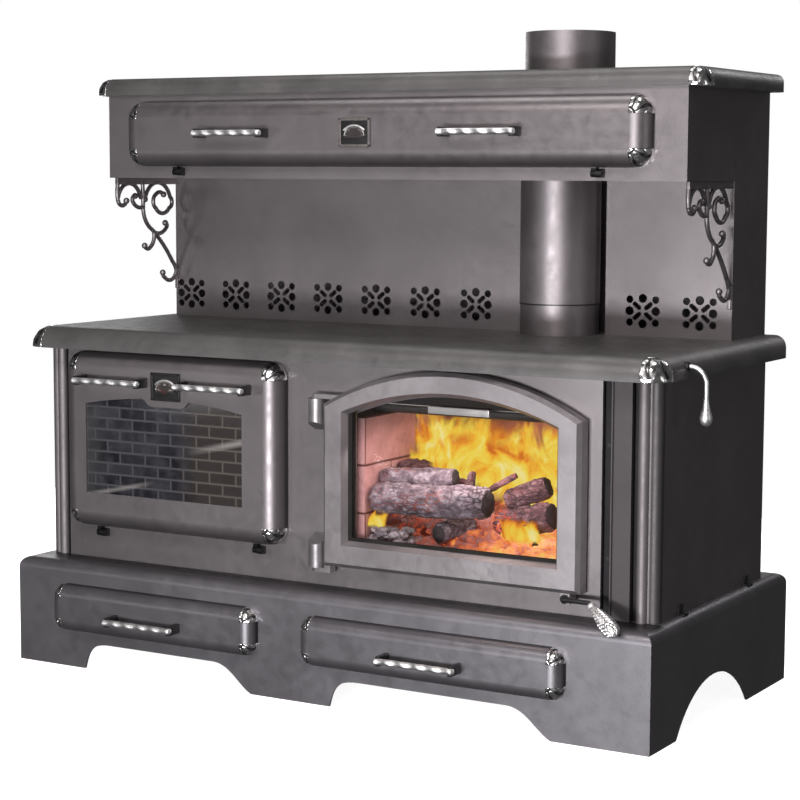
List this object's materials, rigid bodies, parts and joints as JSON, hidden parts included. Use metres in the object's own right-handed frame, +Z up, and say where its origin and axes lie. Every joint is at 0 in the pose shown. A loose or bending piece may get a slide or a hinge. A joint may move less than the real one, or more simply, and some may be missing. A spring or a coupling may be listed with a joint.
{
  "type": "wood cookstove",
  "caption": "Wood cookstove on an arched plinth: drop-down oven, arched glazed fire door with latch, two plinth drawers, cooktop with damper crank, riser with flue pipe and warming closet.",
  "frame": {"origin": "centre of the bounding box in plan, on the floor under the plinth", "axes": "+X to the right seen from the front, +Y to the wall behind the stove, +Z up"},
  "size_m": [1.7426, 0.8776, 1.522],
  "materials": {
    "satin_enamel": "satin metallic charcoal stove paint",
    "bright_trim": "bright plated castings",
    "cast_plate": "painted cast iron, fine grain",
    "sheet_steel": "heat-darkened steel",
    "firebrick": "matt fired clay",
    "dark_brick": "matt dark brick with pale joints",
    "insulating_board": "matt fibre board",
    "door_glass": "clear heat-proof glass",
    "rope_seal": "woven fibre rope",
    "dial_plate": "dark plate with a bright half ring",
    "needle_red": "painted"
  },
  "bodies": {
    "stove_body": {"air_tubes": "sheet_steel", "back_cover": "satin_enamel", "baffle_board": "insulating_board", "body_fasteners": "sheet_steel", "cooktop": "cast_plate", "cooktop_corner_trims": "bright_trim", "corner_column_left": "satin_enamel", "corner_column_right": "satin_enamel", "drawer_runners": "sheet_steel", "facade": "satin_enamel", "fire_bricks": "firebrick", "fire_grate": "cast_plate", "firebox_shell": "sheet_steel", "flue_outlet_collar": "satin_enamel", "flue_pipe": "satin_enamel", "flue_spigot": "cast_plate", "hinge_lugs": "cast_plate", "hood_corner_trims": "bright_trim", "hood_facade": "satin_enamel", "hood_side_left": "satin_enamel", "hood_side_right": "satin_enamel", "hood_slab": "cast_plate", "oven_box": "sheet_steel", "oven_brick_lining": "dark_brick", "oven_rack": "sheet_steel", "pipe_recess": "satin_enamel", "plinth": "satin_enamel", "rear_plate": "satin_enamel", "riser_panel_left": "satin_enamel", "riser_panel_right": "satin_enamel", "scroll_bracket_left": "satin_enamel", "scroll_bracket_right": "satin_enamel", "side_panel_left": "satin_enamel", "side_panel_right": "satin_enamel", "warming_closet": "satin_enamel"},
    "oven_door": {"oven_door_shell": "satin_enamel", "oven_door_liner": "sheet_steel", "oven_door_glass": "door_glass", "oven_door_seal": "rope_seal", "oven_door_corners": "bright_trim", "oven_door_handles": "bright_trim", "thermometer_dial": "dial_plate"},
    "thermometer_needle": {"thermometer_needle": "needle_red"},
    "warming_door": {"warming_door_shell": "satin_enamel", "warming_door_trim": "bright_trim", "warming_door_plate": "bright_trim"},
    "fire_door": {"fire_door_frame": "cast_plate", "fire_door_glass": "door_glass", "fire_door_seal": "rope_seal"},
    "fire_latch": {"latch_lever": "sheet_steel", "latch_grip": "bright_trim"},
    "storage_drawer": {"storage_drawer_front": "satin_enamel", "storage_drawer_box": "sheet_steel", "storage_drawer_trim": "bright_trim"},
    "ash_drawer": {"ash_drawer_front": "satin_enamel", "ash_drawer_box": "sheet_steel", "ash_drawer_trim": "bright_trim"},
    "damper": {"damper_crank": "sheet_steel", "damper_grip": "bright_trim", "damper_flap": "sheet_steel"}
  },
  "joints": [
    {"name": "oven_door_hinge", "type": "hinge", "parent": "stove_body", "child": "oven_door", "pos_m": [-0.45025, -0.2752, 0.322], "axis": [1, 0, 0], "range_deg": [0, 90]},
    {"name": "thermometer_needle_turn", "type": "hinge", "parent": "oven_door", "child": "thermometer_needle", "pos_m": [-0.45025, -0.3182, 0.681], "axis": [0, 1, 0], "range_deg": [0, 120]},
    {"name": "warming_door_hinge", "type": "hinge", "parent": "stove_body", "child": "warming_door", "pos_m": [-0.02725, -0.0742, 1.197], "axis": [1, 0, 0], "range_deg": [0, 90]},
    {"name": "fire_door_hinge", "type": "hinge", "parent": "stove_body", "child": "fire_door", "pos_m": [-0.04325, -0.2872, 0.49635], "axis": [0, 0, -1], "range_deg": [0, 95]},
    {"name": "fire_latch_turn", "type": "hinge", "parent": "fire_door", "child": "fire_latch", "pos_m": [0.59475, -0.2942, 0.299], "axis": [0, -1, 0], "range_deg": [0, 60]},
    {"name": "storage_drawer_slide", "type": "slide", "parent": "stove_body", "child": "storage_drawer", "axis": [0, -1, 0], "range_m": [0, 0.45]},
    {"name": "ash_drawer_slide", "type": "slide", "parent": "stove_body", "child": "ash_drawer", "axis": [0, -1, 0], "range_m": [0, 0.45]},
    {"name": "damper_turn", "type": "hinge", "parent": "stove_body", "child": "damper", "pos_m": [0.77775, -0.1852, 0.797], "axis": [-1, 0, 0], "range_deg": [0, 90]}
  ]
}
